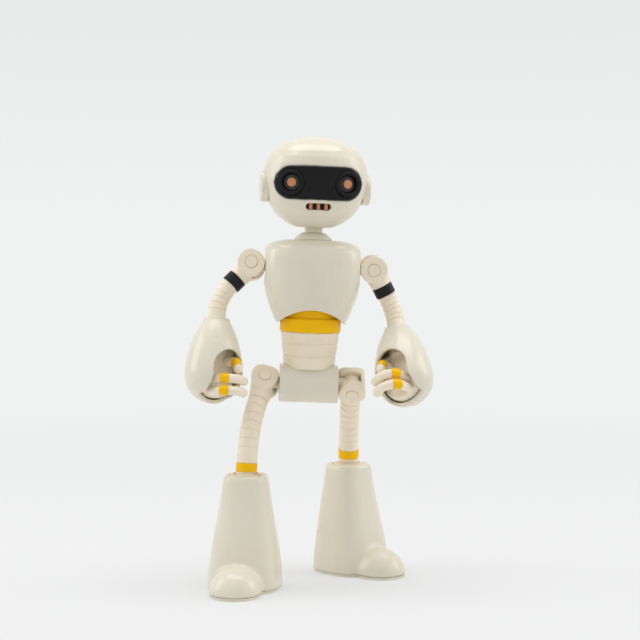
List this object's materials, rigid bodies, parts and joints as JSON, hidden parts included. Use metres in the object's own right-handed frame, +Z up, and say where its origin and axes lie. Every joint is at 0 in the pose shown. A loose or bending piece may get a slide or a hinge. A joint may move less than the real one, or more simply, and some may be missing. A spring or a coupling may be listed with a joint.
{
  "type": "posable toy robot",
  "caption": "Posable toy robot with a visored round head, shield-shaped chest, bent tube limbs, drum gauntlets with curled fingers and tall tapered boots.",
  "frame": {"origin": "on the floor, under the middle of the figure's outline in its rest pose", "axes": "+Z up, -Y the way the robot faces, +X to the right of someone facing it"},
  "size_m": [0.0752, 0.0584, 0.1366],
  "materials": {
    "ivory_shell": "glossy moulded shell",
    "cream_limb": "satin moulded limb",
    "yellow_trim": "glossy",
    "black_trim": "satin",
    "visor_black": "high gloss",
    "amber_lens": "polished",
    "steel_pin": "plain ground pin",
    "sole": "satin"
  },
  "bodies": {
    "pelvis": {"pelvis_front_shell": "ivory_shell", "pelvis_rear_shell": "ivory_shell", "abdomen": "cream_limb", "waist_ring": "yellow_trim", "waist_peg": "cream_limb"},
    "chest": {"chest_front_shell": "ivory_shell", "chest_back_shell": "ivory_shell", "neck_collar": "ivory_shell"},
    "neck": {"neck_post": "cream_limb"},
    "head": {"head_front_shell": "ivory_shell", "head_rear_shell": "ivory_shell", "visor": "visor_black", "eye_rings": "black_trim", "eye_lenses": "amber_lens", "mouth_insert": "black_trim", "mouth_bars": "amber_lens", "right_ear_cap": "ivory_shell", "left_ear_cap": "ivory_shell", "neck_socket": "cream_limb", "neck_pin": "steel_pin"},
    "right_shoulder": {"right_shoulder_peg": "cream_limb"},
    "right_upper_arm": {"right_shoulder_knuckle": "cream_limb", "right_shoulder_pin": "cream_limb", "right_arm_band": "black_trim"},
    "right_arm": {"right_arm_tube": "cream_limb"},
    "right_hand": {"right_gauntlet": "ivory_shell", "right_palm": "cream_limb", "right_fingers": "cream_limb", "right_finger_rings": "yellow_trim"},
    "right_hip": {"right_hip_peg": "cream_limb"},
    "right_thigh": {"right_hip_knuckle": "cream_limb", "right_hip_pin": "cream_limb"},
    "right_leg": {"right_leg_tube": "cream_limb", "right_leg_band": "yellow_trim"},
    "right_ankle": {"right_ankle_cup": "cream_limb", "right_ankle_pin": "steel_pin"},
    "right_boot": {"right_boot_shell": "ivory_shell", "right_toe_cap": "ivory_shell", "right_sole": "sole"},
    "left_shoulder": {"left_shoulder_peg": "cream_limb"},
    "left_upper_arm": {"left_shoulder_knuckle": "cream_limb", "left_shoulder_pin": "cream_limb", "left_arm_band": "black_trim"},
    "left_arm": {"left_arm_tube": "cream_limb"},
    "left_hand": {"left_gauntlet": "ivory_shell", "left_palm": "cream_limb", "left_fingers": "cream_limb", "left_finger_rings": "yellow_trim"},
    "left_hip": {"left_hip_peg": "cream_limb"},
    "left_thigh": {"left_hip_knuckle": "cream_limb", "left_hip_pin": "cream_limb"},
    "left_leg": {"left_leg_tube": "cream_limb", "left_leg_band": "yellow_trim"},
    "left_ankle": {"left_ankle_cup": "cream_limb", "left_ankle_pin": "steel_pin"},
    "left_boot": {"left_boot_shell": "ivory_shell", "left_toe_cap": "ivory_shell", "left_sole": "sole"}
  },
  "joints": [
    {"name": "waist_swivel", "type": "hinge", "parent": "pelvis", "child": "chest", "pos_m": [0.00038, 0.00342, 0.07683], "axis": [0.0349, 0.0015, 0.9994], "range_deg": [-35, 35]},
    {"name": "neck_swivel", "type": "hinge", "parent": "chest", "child": "neck", "pos_m": [0.00137, 0.00347, 0.10502], "axis": [0.0349, 0.0015, 0.9994], "range_deg": [-60, 60]},
    {"name": "head_nod", "type": "hinge", "parent": "neck", "child": "head", "pos_m": [0.00161, 0.00348, 0.11181], "axis": [0.993, 0.1132, -0.0348], "range_deg": [-12, 12]},
    {"name": "right_shoulder_swing", "type": "hinge", "parent": "chest", "child": "right_shoulder", "pos_m": [-0.01764, 0.00264, 0.09738], "axis": [0.9984, 0.0436, -0.0349], "range_deg": [-60, 40]},
    {"name": "right_shoulder_raise", "type": "hinge", "parent": "right_shoulder", "child": "right_upper_arm", "pos_m": [-0.01764, 0.00264, 0.09738], "axis": [-0.0508, 0.969, -0.2418], "range_deg": [-3, 40]},
    {"name": "right_arm_twist", "type": "hinge", "parent": "right_upper_arm", "child": "right_arm", "pos_m": [-0.02392, 0.00077, 0.09121], "axis": [0.698, 0.2076, 0.6854], "range_deg": [-20, 60]},
    {"name": "right_gauntlet_turn", "type": "hinge", "parent": "right_arm", "child": "right_hand", "pos_m": [-0.02804, -0.00201, 0.08095], "axis": [-0.0407, -0.2439, -0.9689], "range_deg": [-30, 60]},
    {"name": "right_hip_swing", "type": "hinge", "parent": "pelvis", "child": "right_hip", "pos_m": [-0.01355, 0.00282, 0.06141], "axis": [0.9984, 0.0436, -0.0349], "range_deg": [-15, 30]},
    {"name": "right_hip_spread", "type": "hinge", "parent": "right_hip", "child": "right_thigh", "pos_m": [-0.01355, 0.00282, 0.06141], "axis": [-0.0556, 0.83, -0.555], "range_deg": [-6, 25]},
    {"name": "right_leg_twist", "type": "hinge", "parent": "right_thigh", "child": "right_leg", "pos_m": [-0.0155, -0.00101, 0.05588], "axis": [0.2785, 0.5467, 0.7897], "range_deg": [-20, 20]},
    {"name": "right_ankle_tilt", "type": "hinge", "parent": "right_leg", "child": "right_ankle", "pos_m": [-0.01895, -0.00779, 0.0335], "axis": [0.891, -0.454, 0], "range_deg": [-15, 10]},
    {"name": "right_boot_turn", "type": "hinge", "parent": "right_ankle", "child": "right_boot", "pos_m": [-0.01895, -0.00779, 0], "axis": [0, 0, 1], "range_deg": [-30, 30]},
    {"name": "left_shoulder_swing", "type": "hinge", "parent": "chest", "child": "left_shoulder", "pos_m": [0.0198, 0.00427, 0.09607], "axis": [0.9984, 0.0436, -0.0349], "range_deg": [-60, 40]},
    {"name": "left_shoulder_raise", "type": "hinge", "parent": "left_shoulder", "child": "left_upper_arm", "pos_m": [0.0198, 0.00427, 0.09607], "axis": [0.0411, -0.9967, -0.0697], "range_deg": [-4, 40]},
    {"name": "left_arm_twist", "type": "hinge", "parent": "left_upper_arm", "child": "left_arm", "pos_m": [0.02386, 0.005, 0.08807], "axis": [0.451, 0.0808, -0.8889], "range_deg": [-60, 8]},
    {"name": "left_gauntlet_turn", "type": "hinge", "parent": "left_arm", "child": "left_hand", "pos_m": [0.02706, 0.00179, 0.07761], "axis": [-0.1079, 0.5459, 0.8309], "range_deg": [-40, 60]},
    {"name": "left_hip_swing", "type": "hinge", "parent": "pelvis", "child": "left_hip", "pos_m": [0.01321, 0.00398, 0.06048], "axis": [0.9984, 0.0436, -0.0349], "range_deg": [-30, 10]},
    {"name": "left_hip_spread", "type": "hinge", "parent": "left_hip", "child": "left_thigh", "pos_m": [0.01321, 0.00398, 0.06048], "axis": [0.0091, -0.7434, -0.6688], "range_deg": [0, 25]},
    {"name": "left_leg_twist", "type": "hinge", "parent": "left_thigh", "child": "left_leg", "pos_m": [0.01296, 0.00866, 0.05527], "axis": [-0.035, 0.6682, -0.7431], "range_deg": [-20, 20]},
    {"name": "left_ankle_tilt", "type": "hinge", "parent": "left_leg", "child": "left_ankle", "pos_m": [0.01248, 0.01785, 0.0335], "axis": [-0.9986, -0.0523, 0], "range_deg": [-15, 10]},
    {"name": "left_boot_turn", "type": "hinge", "parent": "left_ankle", "child": "left_boot", "pos_m": [0.01248, 0.01785, 0], "axis": [0, 0, 1], "range_deg": [-30, 30]}
  ]
}
